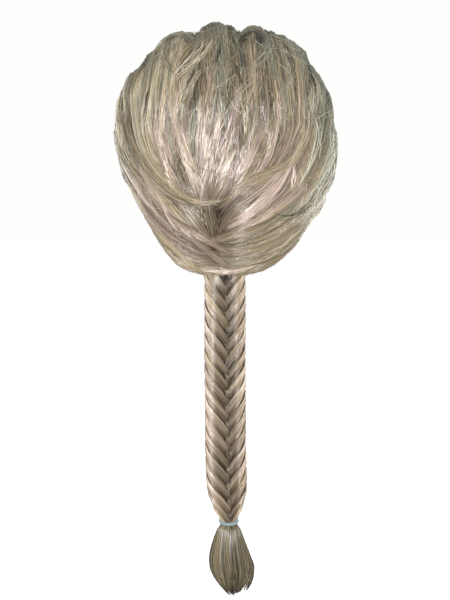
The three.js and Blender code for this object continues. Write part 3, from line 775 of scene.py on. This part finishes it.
laidLocks = [
    # the pocket over the braid's root, its locks given dark tones as painted shade, and the locks that cross
    # its foot
    lay(usualLock, (-23, 114), (-17, 121), (-11, 128), (-4, 136), lift=0.4, half=8, strands=90, tone=0.31,
        hue=0.65),
    lay(usualLock, (-8, 113), (-8, 121), (-6, 129), (-4, 137), lift=0, half=8, strands=90, tone=0.27,
        hue=0.55),
    lay(usualLock, (12, 115), (6, 120), (0, 126), (-4, 133), lift=0.2, half=8, strands=90, tone=0.3,
        hue=0.8),
    lay(usualLock, (30, 123), (20, 126), (10, 128), (1, 130), (-7, 132), (-14, 134), strands=44,
        stray=1.6, ragged=0.4, tone=0.42, hue=0.7),
    lay(usualLock, (-30, 122), (-24, 125), (-16, 128), (-9, 131), (-1, 135), (6, 138), half=3.5,
        strands=40, stray=1.6, ragged=0.4, lift=1.6, tone=0.5, hue=0.85),
    # bands that cross at the middle of the back
    lay(usualLock, (-58, 80), (-51, 95), (-41, 105), (-31, 112), (-22, 116), (-13, 118), (-4, 118),
        half=3.5, stray=2.2, ragged=0.5, tone=0.5, hue=0.5),
    lay(usualLock, (-56, 90), (-48, 102), (-37, 110), (-27, 116), (-18, 119), (-8, 120), (-1, 118),
        half=3, strands=26, stray=2.2, ragged=0.5, tone=0.4, hue=0.5),
    lay(usualLock, (-42, 86), (-38, 98), (-32, 106), (-24, 112), (-16, 117), (-7, 119), (3, 117), half=3,
        strands=22, stray=2.4, ragged=0.5, lift=1.8, tone=0.6, hue=0.55),
    lay(usualLock, (46, 82), (40, 93), (29, 105), (16, 110), (6, 114), (-5, 117), half=6, strands=56,
        stray=2, ragged=0.45, tone=0.55, hue=0.6),
    # pale locks, most of them rose, on the back and sides: painted highlights
    lay(usualLock, (-32, 82), (-29, 93), (-24, 106), (-18, 116), half=6, strands=50, tone=0.66, hue=0.9),
    lay(usualLock, (-21, 84), (-17, 98), (-12, 109), (-6, 118), half=5, strands=46, tone=0.68, hue=0.9),
    lay(usualLock, (18, 88), (11, 100), (5, 109), (-3, 117), half=7, strands=54, tone=0.64, hue=0.85),
    lay(usualLock, (34, 96), (27, 108), (20, 116), (10, 123), (-2, 129), half=7, strands=60, tone=0.66,
        hue=0.95),
    lay(usualLock, (-52, 96), (-40, 109), (-30, 119), (-18, 129), (-6, 137), half=6, strands=54,
        tone=0.53, hue=0.9),
    lay(usualLock, (46, 110), (34, 117), (22, 122), (8, 128), (-4, 132), half=5, strands=46, tone=0.58,
        hue=0.8),
    lay(usualLock, (66, 122), (50, 129), (34, 132), (16, 135), (-2, 137), half=5, strands=46, tone=0.46,
        hue=0.5),
    lay(usualLock, (-62, 50), (-53, 70), (-46, 85), (-38, 101), (-28, 113), half=3.5, strands=26,
        tone=0.62, hue=0.3),
    lay(thinLock, (66, 118), (46, 123), (30, 125), (16, 123), tone=0.2, hue=0.5),  # a dark curl
    # the band under the nape
    lay(usualLock, (-62, 126), (-46, 132), (-29, 137), (-15, 144), (3, 150), strands=46, tone=0.66,
        hue=0.6),
    lay(usualLock, (66, 135), (46, 140), (25, 142), (12, 146), (-3, 150), strands=46, tone=0.46, hue=0.4),
    lay(usualLock, (-22, 128), (-12, 134), (-4, 140), (5, 145), (15, 147), lift=-1.2, half=2.6,
        strands=24, stray=2, ragged=0.5, tone=0.52, hue=0.8),
    # the left roll on the top, and its sweep
    lay(topLock, (-48, 58), (-52, 48), (-47, 40), (-35, 39), (-22, 46), (-15, 54), half=4.5, strands=36,
        stray=2, tone=0.4, hue=0.2),
    lay(topLock, (-16, 45), (-19, 50), (-23, 56), (-28, 63), half=3.5, strands=22, tone=0.46, hue=0.4),
    lay(topLock, (-14, 46), (-17, 56), (-20, 63), (-23, 69), half=3, strands=18, tone=0.26, hue=0.3),
    lay(thinLock, (-43, 46), (-37, 54), (-30, 60), (-24, 66), (-17, 70), tone=0.5, hue=0.5),
    # the tuft in the middle
    lay(thinLock, (-8, 46), (-11, 57), (-16, 63), (-21, 68), (-26, 73), half=5, strands=16, tone=0.74,
        hue=0.6),
    lay(topLock, (-12, 40), (-15, 49), (-19, 57), (-25, 66), strands=26, tone=0.36, hue=0.3),
    lay(topLock, (-6, 33), (-6, 48), (-9, 60), (-12, 70), strands=26, tone=0.44, hue=0.3),
    lay(topLock, (3, 36), (5, 50), (7, 60), (8, 70), strands=26, tone=0.34, hue=0.2),
    # the right roll
    lay(topLock, (8, 48), (15, 38), (25, 34), (29, 40), (25, 49), (19, 57), (13, 64), (6, 68), half=3,
        strands=36, tone=0.42, hue=0.05),
    lay(thinLock, (31, 42), (26, 50), (20, 58), (13, 65), (4, 70), tone=0.66, hue=0.1),
    lay(topLock, (9, 52), (13, 45), (19, 43), (22, 48), (18, 55), half=3, strands=26, tone=0.12, hue=0.1),
    # over the crown's edges, and down from the top
    lay(topLock, (-86, 40), (-73, 51), (-63, 61), (-55, 74), (-50, 88), half=7, strands=46, stray=2.5,
        ragged=0.5, lift=-0.4, tone=0.42, hue=0.25),
    lay(topLock, (86, 40), (73, 51), (63, 61), (56, 74), (51, 88), half=7, strands=46, stray=2.5,
        ragged=0.5, lift=-0.4, tone=0.4, hue=0.05),
    lay(topLock, (31, 40), (25, 53), (22, 64), (21, 76), tone=0.5, hue=0.05),
    lay(topLock, (33, 38), (42, 44), (46, 52), (48, 61), (47, 70), half=5, strands=20, stray=2.5,
        ragged=0.55, tone=0.46, hue=0.05),
    lay(thinLock, (44, 58), (35, 67), (27, 73), (20, 79), tone=0.62, hue=0.2),
    lay(thinLock, (14, 67), (9, 73), (4, 79), (0, 86), tone=0.7, hue=0.4),
    lay(thinLock, (-10, 66), (-13, 72), (-17, 78), (-22, 84), tone=0.7, hue=0.5),
    lay(thinLock, (20, 66), (14, 73), (8, 80), (3, 88), tone=0.66, hue=0.3),
    # painted shade: thin dark locks in the gaps between the locks of the crown
    lay(shadeLock, (-12, 73), (-12, 84), (-12, 94)),
    lay(shadeLock, (-9, 82), (-10, 93), (-10, 106)),
    lay(shadeLock, (2, 76), (1, 84), (0, 94)),
    lay(shadeLock, (8, 73), (8, 84), (7, 94), strands=11),
    lay(shadeLock, (21, 71), (20, 81), (18, 92)),
    lay(shadeLock, (-39, 70), (-39, 80), (-37, 90)),
    lay(shadeLock, (-2, 48), (-3, 57), (-4, 66), lift=-0.5),
    lay(shadeLock, (4, 62), (6, 69), (8, 78)),
    lay(shadeLock, (0, 89), (-3, 98), (-6, 107)),
    lay(shadeLock, (-13, 66), (-16, 73), (-19, 81)),
    # painted highlights: thin pale rose locks
    lay(highlightLock, (-27, 100), (-24, 110), (-21, 117)),
    lay(highlightLock, (-20, 93), (-16, 104), (-12, 113)),
    lay(highlightLock, (-8, 90), (-8, 99), (-8, 105), half=1.8),
    lay(highlightLock, (-1, 85), (-5, 99)),
    lay(highlightLock, (6, 97), (1, 105), (-3, 113)),
    lay(highlightLock, (21, 113), (13, 119), (4, 125), hue=0.95),
    lay(highlightLock, (33, 105), (30, 117), strands=12, tone=0.8),
    lay(highlightLock, (24, 120), (13, 126), strands=12, tone=0.8),
    lay(highlightLock, (-32, 115), (-27, 123), (-21, 131), strands=14, tone=0.74),
    # tips that stand off at the right edge
    lay(thinLock, (40, 82), (48, 85), (57, 83), (66, 76), strands=6, tip=1, tone=0.68, hue=0.2),
    lay(thinLock, (60, 58), (55, 67), (52, 75), (52, 83), strands=14, tone=0.64, hue=0.15),
]


def laidLock(lock, rng):
    # a curve through the stations on the hair's surface; strands keep their place across it with a slow
    # stray of their own, the section narrows towards both ends, and the ends are tucked in
    f = laidSet
    s = np.linspace(0, 1, f["steps"])
    own = (lock["strands"], 1)
    start, stop = (lock["ragged"] * rng.random(own) ** 2 for _ in range(2))
    run = bearing(np.array(lock["run"], float))
    d = unit(alongCurve(lambda i: run[i], len(run), mix(start, 1 - stop, s)))
    side = unit(np.cross(np.gradient(d, axis=1), d))
    place = np.clip(rng.normal(0, f["place"], own), -f["placeMost"], f["placeMost"])
    stray = lock["stray"] * np.sin(np.pi * (s * mix(*f["slow"], rng.random(own)) + 2 * rng.random(own)))
    ends = lock["tip"] * ease(s, *f["tipped"]) - f["tuck"] * (1 - ease(s, *f["tucked"]))
    lift = lock["lift"] + (1 - place ** 2) * f["thick"] * rng.random(own) + ends
    path = (hairCentre + d * (surfaceRadius(d) + lift)[..., None]
            + side * (place * lock["half"] * taper(s, *f["section"]) + stray)[..., None])
    half = mix(*lock["strand"], rng.random(own)) * taper(s, *f["thin"])
    # painted shade: strands at the lock's edges are darker
    tone = lock["tone"] + rng.normal(0, f["toneStrand"], own) - f["edgeShade"] * place ** 2
    hue = lock["hue"] + rng.normal(0, f["hueStrand"], own)
    return strandTubes(path, d, half, tone, hue)


laidRandom = np.random.default_rng(laidSet["seed"])
strandPiece("laidLocks", [laidLock(lock, laidRandom) for lock in laidLocks], "crown_hair")


# the fishtail braid
braidForm = dict(top=-180, end=-430, halfWidth=18.6, halfDepth=15.5, square=0.7, locks=18, rootDepth=8,
                 rootTaper=40, rootSwell=0.6, frontFall=28, backRise=20, starts=0.05, through=12,
                 skew=0.16, gather=1.5)
braidNeck = np.array([  # height over the tie, half width
    (-3, 4.5), (0, 5.8), (3, 8.6), (9, 11.8), (20, 16), (30, 18.2), (42, 18.6)])
braidLine = np.array([(0, -70, -180), (0, -76, -230), (0, -80, -280), (0.4, -83, -330), (1, -85, -390),
                      (3.4, -86, -430)], float)


def braidSurface(turn, down, swell):
    # a stack of ovals: turn runs round from the middle of the front, down is the share of the braid's
    # length; a ring falls to a V at the front and rises at the back, and the last ones run on through
    # the tie; swell grows a ring, a power of the cosine squares its face, and skew turns the V a little
    # to the right. Gives points and the way out
    f = braidForm
    length = f["top"] - f["end"]
    wrapped = (turn + np.pi) % (2 * np.pi) - np.pi
    facing = 1 - 2 * np.abs(wrapped) / np.pi
    fall = facing * np.where(facing > 0, f["frontFall"], f["backRise"]) * ease(down, 0, f["starts"])
    above = np.clip(length - length * down - fall, -f["through"], length)  # height over the tie
    centre = alongCurve(lambda i: braidLine[i], len(braidLine), 1 - np.maximum(above, 0) / length)
    rooted = ease(length - above, 0, f["rootTaper"])
    gathered = np.interp(above, braidNeck[:, 0], braidNeck[:, 1]) / f["halfWidth"]
    depth = mix(f["rootDepth"], f["halfDepth"], rooted)
    swollen = swell * gathered ** f["gather"]
    wide = f["halfWidth"] * gathered + swollen
    deep = depth * gathered + swollen * mix(f["rootSwell"], 1, rooted)
    sine, cosine = np.sin(turn + f["skew"]), np.cos(turn + f["skew"])
    cosine = np.sign(cosine) * np.abs(cosine) ** f["square"]
    point = np.stack([centre[..., 0] + wide * sine, centre[..., 1] - deep * cosine, f["end"] + above], -1)
    out = unit(np.stack([sine * deep, -cosine * wide, 0 * wide], -1))
    return point, out


def coreGrid(core):
    # shares down and turns round, and a uv with a third of the streaks' width all round
    share = np.linspace(0, core["reach"], core["rings"])
    down, turn = np.meshgrid(share, turns(core["sides"]), indexing="ij")
    return down, turn, np.stack([turn / (2 * np.pi) / 3, down], -1)


braidPacked = dict(rings=120, sides=24, reach=1.3, sunk=4.5, valley=7.5)


def braidCore(core):
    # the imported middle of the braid, well under its locks
    down, turn, uv = coreGrid(core)
    points, _ = braidSurface(turn, down, -core["sunk"] - core["valley"] * np.cos(turn) ** 2)
    return ringStack(points, uv, False)


# the braid's tone and hue carry painted light: painted highlight, paler and rosier, about the shoulders and
# along each lock's upper rim; painted shade towards and past the middle of the front, over the lower part of
# each lock and at the top under the nape band
braidLocks = dict(
    seed=41, strands=43, steps=12, more=4, back=176, front=-15, upper=-0.52, lower=0.62, drift=0.025,
    rim=0.16, under=-1.6, crest=1.7, sink=4.4, edge=0.35, valley=8.5, valleyTurn=50, dive=3.5, rough=0.14,
    strand=(0.28, 0.46), tone=0.26, toneLock=0.04, toneStrand=0.09, shoulder=0.40, shoulderTurn=1.16,
    shoulderWidth=0.32, middle=0.03, rimHighlight=0.2, lowShade=0.24, glossFade=0.8, rootShade=0.3,
    hue=(0.68, 0.85), hueStrand=0.22, falls=(0.15, 1.1), diveFront=(0.04, 0.26), diveBack=(2.9, 3.07),
    middleTurn=(-0.6, 0.1), rimTo=(0.05, 0.3), lowFrom=(0.35, 0.9), rootTo=(0, 0.07),
)


def braidStrands(locks):
    # lock k on either side runs from the back round the edge to the middle of the front and dives under
    # the other side. Across a lock, from its upper to its lower edge, the height rises by a quarter
    # circle to a rim and then falls away under the next lock; front and back have a shallow valley
    rng = np.random.default_rng(locks["seed"])
    each, steps, number = locks["strands"], locks["steps"], braidForm["locks"] + locks["more"]
    turn = np.radians(mix(locks["back"], locks["front"], np.linspace(0, 1, steps)))
    hand = np.array([1, -1])[:, None, None, None]
    own = (2, number, each, 1)
    spot = np.arange(number)[None, :, None, None] + np.where(hand > 0, 0, 0.5)
    place = np.clip((np.arange(each)[:, None] + rng.random(own)) / each, 0, 1)
    drift = rng.normal(0, locks["drift"], own) * np.linspace(-1, 1, steps)
    down = (spot + mix(locks["upper"], locks["lower"], place) + drift) / braidForm["locks"]
    rim = mix(locks["under"], locks["crest"], quarter(place / locks["rim"]))
    height = rim - (locks["crest"] + locks["sink"]) * ease(place, *locks["falls"])
    width = np.radians(locks["valleyTurn"])
    valley = locks["valley"] * (np.exp(-(turn / width) ** 2) + np.exp(-((turn - np.pi) / width) ** 2))
    dive = locks["dive"] * (ease(-turn, *locks["diveFront"]) + ease(turn, *locks["diveBack"]))
    swell = height * mix(locks["edge"], 1, np.abs(np.cos(turn))) - valley - dive
    swell = swell + rng.normal(0, locks["rough"], own)
    path, out = braidSurface(hand * turn + 0 * down, np.maximum(down, 0), swell)
    half = mix(*locks["strand"], rng.random(own))
    # painted highlight about the shoulders; painted shade lower on each lock, less of it under the highlight
    shoulder = locks["shoulderTurn"] - hand * braidForm["skew"] / 2
    paintedGloss = np.exp(-((turn - shoulder) / locks["shoulderWidth"]) ** 2)
    lower = ease(place, *locks["lowFrom"]) * (1 - locks["glossFade"] * paintedGloss)
    tone = (locks["tone"] + rng.normal(0, locks["toneLock"], (2, number, 1, 1)) + locks["shoulder"] * paintedGloss
            - locks["middle"] * ease(-turn, *locks["middleTurn"]) + rng.normal(0, locks["toneStrand"], own)
            + locks["rimHighlight"] * (1 - ease(place, *locks["rimTo"])) - locks["lowShade"] * lower
            - locks["rootShade"] * (1 - ease(down, *locks["rootTo"])))
    hue = mix(*locks["hue"], paintedGloss) + rng.normal(0, locks["hueStrand"], own)
    return strandTubes(path, out, half, tone, hue)


gatherSet = dict(seed=47, strands=70, steps=8, spread=0.045, turn=1.0, across=(0.8, 1), rootSunk=3,
                 down=(0.15, 0.27), sunk=(-2, 0.6), strand=(0.28, 0.44), tone=0.4, toneStrand=0.1,
                 hue=0.5, hueStrand=0.2, thin=(1, 1, 0.7, 0.3))


def gatherStrands(form):
    # from the nape's lower edge into the side of the braid that faces the neck: level steps are eased,
    # the height falls evenly
    rng = np.random.default_rng(form["seed"])
    own = (form["strands"], 1)
    s = np.linspace(0, 1, form["steps"])
    place = mix(-1, 1, rng.random(own))
    across = mix(*form["across"], rng.random(own))
    sunk = form["rootSunk"] * rng.random(own)
    root, _ = layerPoint(napeLayer, across, 0.5 + form["spread"] * place, -sunk)
    down = mix(*form["down"], rng.random(own))
    foot, out = braidSurface(np.pi - form["turn"] * place, down, mix(*form["sunk"], rng.random(own)))
    path = mix(root, foot, ease(s, 0, 1)[..., None])
    path[..., 2] = mix(root[..., 2], foot[..., 2], s)
    half = mix(*form["strand"], rng.random(own)) * taper(s, *form["thin"])
    tone = form["tone"] + rng.normal(0, form["toneStrand"], own)
    hue = form["hue"] + rng.normal(0, form["hueStrand"], own)
    return strandTubes(path, out, half, tone, hue)


makePiece("braidCore", *braidCore(braidPacked), hairUnder, "hair", ["braid"])
strandPiece("braidStrands", [braidStrands(braidLocks), gatherStrands(gatherSet)], "braid")


# the loose brush under the tie
tailForm = dict(length=69, halfWidth=19, halfDepth=14, swing=3.4, swings=(0.3, 0.9), top=-430.4,
                centre=(3.4, -86))
tailOutline = np.array([  # share of the way down, share of the half width
    (0, 0.27), (0.03, 0.34), (0.07, 0.48), (0.2, 0.66), (0.4, 0.88), (0.6, 1), (0.78, 0.78), (0.92, 0.42),
    (1, 0.14)])


def tailPoint(turn, reach, down):
    # an oval whose width follows the outline; reach is the share of the way out from its middle
    f = tailForm
    wide = np.interp(down, tailOutline[:, 0], tailOutline[:, 1])
    aside = f["centre"][0] + f["swing"] * ease(down, *f["swings"])
    x = aside + f["halfWidth"] * wide * reach * np.sin(turn)
    y = f["centre"][1] - f["halfDepth"] * wide * reach * np.cos(turn)
    return np.stack([x, y, f["top"] - f["length"] * down], -1)


tailPacked = dict(rings=24, sides=24, reach=0.9, out=0.66)


def tailCore(core):
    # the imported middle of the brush: the same ovals, drawn in
    down, turn, uv = coreGrid(core)
    return ringStack(tailPoint(turn, core["out"], down), uv, False)


tailLocks = dict(
    seed=53, count=44, strands=21, steps=10, step=2.399963, spread=0.26, twist=0.1, out=(0.66, 0.98),
    stray=0.07, within=(0.3, 1.04), length=(0.92, 1.0), ragged=0.1, strand=(0.26, 0.44), tone=0.36,
    toneLock=0.07, toneStrand=0.14, hue=0.36, hueStrand=0.22, wispTurn=1.75, wispWidth=0.45,
    wispFrom=0.15, wisp=10, outPower=0.6, gathers=(1, 1, 0.5, 0.7), thin=(1, 1, 0.7, 0.2),
)


def tailStrands(locks):
    # locks round the brush, a golden angle from one to the next, each a bundle that opens below the tie
    # and draws to a ragged tip; the locks on the right flare out by the square of the way down
    rng = np.random.default_rng(locks["seed"])
    perLock, own = (locks["count"], 1, 1), (locks["count"], locks["strands"], 1)
    s = np.linspace(0, 1, locks["steps"])
    middle = np.arange(locks["count"])[:, None, None] * locks["step"]
    turn = middle + rng.normal(0, locks["spread"], own) * taper(s, *locks["gathers"])
    turn = turn + rng.normal(0, locks["twist"], perLock) * s
    reach = mix(*locks["out"], rng.random(perLock) ** locks["outPower"]) + rng.normal(0, locks["stray"], own)
    down = s * (mix(*locks["length"], rng.random(perLock)) - locks["ragged"] * rng.random(own) ** 2)
    path = tailPoint(turn, np.clip(reach, *locks["within"]), down)
    fromWisp = (np.mod(middle, 2 * np.pi) - locks["wispTurn"]) / locks["wispWidth"]
    flare = np.exp(-fromWisp ** 2) * locks["wisp"]
    path[..., 0] += flare * np.maximum(0, down - locks["wispFrom"]) ** 2
    out = unit(np.stack([np.sin(turn), -np.cos(turn), 0 * turn], -1))
    half = mix(*locks["strand"], rng.random(own)) * taper(s, *locks["thin"])
    lockTone = locks["tone"] + rng.normal(0, locks["toneLock"], perLock)
    tone = lockTone + rng.normal(0, locks["toneStrand"], own)
    hue = locks["hue"] + rng.normal(0, locks["hueStrand"], own)
    return strandTubes(path, out, half, tone, hue)


makePiece("tailCore", *tailCore(tailPacked), hairUnder, "hair", ["tail"])
strandPiece("tailStrands", [tailStrands(tailLocks)], "tail")


# the elastic tie: a ring of twisted threads
tieForm = dict(centre=(3.4, -86, -430), halfWidth=7.6, halfDepth=7.0, radius=1.6, rings=160, sides=16,
               threads=5, turns=11, groove=0.16, tilt=0.2)


def cordSection(path, up, form):
    # a round section with one bulge for each thread; the bulges turn round the path as they go along it
    tangent = unit(np.roll(path, -1, 0) - np.roll(path, 1, 0))
    side = unit(np.cross(tangent, up))
    top = np.cross(side, tangent)
    about = turns(form["sides"])
    along = np.arange(form["rings"]) / form["rings"]
    twist = 2 * np.pi * form["turns"] / form["threads"] * along[:, None]
    phase = form["threads"] * (about + twist)
    radius = form["radius"] * (1 - form["groove"] * (1 - np.abs(np.cos(phase / 2))))
    points = (path[:, None] + (radius * np.cos(about))[..., None] * side[:, None]
              + (radius * np.sin(about))[..., None] * top[:, None])
    uv = np.stack(np.broadcast_arrays(along[:, None], phase / (2 * np.pi)), -1)
    return ringStack(points, uv, True)


def tieRing(form):
    # an oval that tilts down towards the front
    turn = turns(form["rings"])
    x, y = form["halfWidth"] * np.sin(turn), -form["halfDepth"] * np.cos(turn)
    path = np.array(form["centre"]) + np.stack([x, y, form["tilt"] * y], -1)
    return cordSection(path, np.array([0.0, 0.0, 1.0]), form)


threadSet = dict(detail=2, low=0.35, high=0.65, sheen=0.25, gloss=0.3, bump=0.4, depth=0.0003)


def threadMaterial(name, thread):
    # spun thread: fine fibres along it from stretched noise, in two near tones, with a soft bump
    f = threadSet
    material, tree, shader = newMaterial(name, Roughness=thread["rough"], Sheen_Weight=f["sheen"],
                                         Specular_IOR_Level=f["gloss"])
    noise = addNode(tree, "Group", {"Vector": ownUv(tree), "Stretch": thread["stretch"],
                                    "Detail": f["detail"]}, node_tree=fibres)["Fac"]
    colour = colourRamp(tree, noise, [(f["low"], thread["dark"]), (f["high"], thread["light"])])
    dress(tree, shader, colour, noise, f["bump"], f["depth"])
    return material


tieThread = dict(dark=(84, 98, 104), light=(134, 150, 154), stretch=(60, 9, 1), rough=0.6)
makePiece("elasticTie", *tieRing(tieForm), threadMaterial("tieThread", tieThread), "tie", ["hair_tie"])


# the cap inside the hair and the drawstring in its edge
capForm = dict(wall=2, slope=0.725, rimAtMiddle=-115.8, top=0.004, rows=30, innerRows=90, columns=96,
               hem=0.5, hemShare=0.06, wefts=13, weft=0.7, sewnFrom=(0.03, 0.08))
cordForm = dict(radius=1.4, drop=1.8, rings=260, sides=12, threads=3, turns=70, groove=0.22)


def headPoint(turn, share, grow):
    # on the head's ellipsoid: turn runs round from the back, share from the crown, 0, to the rim, 1;
    # the rim is where the ellipsoid meets a plane that slopes down to the nape
    f = headForm
    a, b, c = f["halfWidth"] + grow, f["halfDepth"] + grow, f["height"] + grow
    pull = capForm["slope"] * b * np.cos(turn)
    rim = np.arctan2(pull, c) + np.arccos((capForm["rimAtMiddle"] + f["height"]) / np.hypot(c, pull))
    drop = rim * share
    return np.stack([a * np.sin(drop) * np.sin(turn), -b * np.sin(drop) * np.cos(turn),
                     c * np.cos(drop) - f["height"]], -1)


def capShell(form):
    # the outer face from the crown to the rim, then the inner face back up; the hem is a little thicker,
    # and the inner face has a low ridge, a cosine to the fourth power, for each row of wefts
    about = turns(form["columns"])
    share, turn = np.meshgrid(np.linspace(form["top"], 1, form["rows"]), about, indexing="ij")
    hem = form["hem"] * ease(share, 1 - form["hemShare"], 1 - form["hemShare"] / 2)
    outer = headPoint(turn, share, form["wall"] + hem)
    outerUv = np.stack([turn / (2 * np.pi), share], -1)
    share, turn = np.meshgrid(np.linspace(1, form["top"], form["innerRows"]), about, indexing="ij")
    ridge = (0.5 - 0.5 * np.cos(2 * np.pi * form["wefts"] * share)) ** 2
    inner = headPoint(turn, share, -form["weft"] * ridge * ease(share, *form["sewnFrom"]))
    innerUv = np.stack([turn / (2 * np.pi), share], -1)
    return ringStack(np.concatenate([outer, inner]), np.concatenate([outerUv, innerUv]), False)


def drawstring(form):
    # a ring just under the cap's rim, square to its plane
    turn = turns(form["rings"])
    tilt = math.atan(capForm["slope"])
    down = np.array([0, math.sin(tilt), -math.cos(tilt)])
    return cordSection(headPoint(turn, 1, 0) + form["drop"] * down, -down, form)


capKnit = dict(wales=230, courses=110, dark=(112, 98, 78), light=(164, 148, 122), pale=0.6,
               weft=(84, 70, 52), row=(0.6, 0.85), bump=0.5, depth=0.0005)


def knitMaterial(knit):
    # knitted net: rows of stitches from two crossed waves; the rows of wefts are a slower wave
    material, tree, shader = newMaterial("capKnit", Roughness=0.85, Sheen_Weight=0.3,
                                         Specular_IOR_Level=0.2)
    uv = ownUv(tree)
    wale, course, weft = (
        addNode(tree, "TexWave", {"Vector": uv, "Scale": count * math.pi / 10}, bands_direction=axis)["Fac"]
        for axis, count in (("X", knit["wales"]), ("Y", knit["courses"]), ("Y", capForm["wefts"])))
    stitch = addNode(tree, "Math", {0: wale, 1: course}, operation="MULTIPLY")["Value"]
    net = colourRamp(tree, stitch, [(0, knit["dark"]), (knit["pale"], knit["light"])])
    low, high = knit["row"]
    row = addNode(tree, "MapRange", {"Value": weft, "From Min": low, "From Max": high})["Result"]
    colour = mixColours(tree, row, net, srgb(*knit["weft"]))
    dress(tree, shader, colour, stitch, knit["bump"], knit["depth"])
    return material


cordThread = dict(dark=(98, 86, 70), light=(140, 124, 102), stretch=(90, 6, 1), rough=0.75)
makePiece("knitCap", *capShell(capForm), knitMaterial(capKnit), "cap", ["cap"])
makePiece("twistedCord", *drawstring(cordForm), threadMaterial("cordThread", cordThread), "cord",
          ["drawstring"])

# plain pale floor well below the tail
floorSet = dict(z=-0.60, half=8.0, colour=(0.8, 0.8, 0.8, 1), glow=0.8)


def makeFloor(settings):
    h, z = settings["half"], settings["z"]
    mesh = bpy.data.meshes.new("floor")
    mesh.from_pydata([(-h, -h, z), (h, -h, z), (h, h, z), (-h, h, z)], [], [(0, 1, 2, 3)])
    material, _, shader = newMaterial("floorPaint", Roughness=0.9, Emission_Strength=settings["glow"])
    shader.inputs["Base Color"].default_value = settings["colour"]
    shader.inputs["Emission Color"].default_value = (1, 1, 1, 1)
    mesh.materials.append(material)
    floor = bpy.data.objects.new("floor", mesh)
    floor.visible_diffuse = False  # a white floor would light the hair from below
    floor.visible_glossy = False
    bpy.context.scene.collection.objects.link(floor)


makeFloor(floorSet)
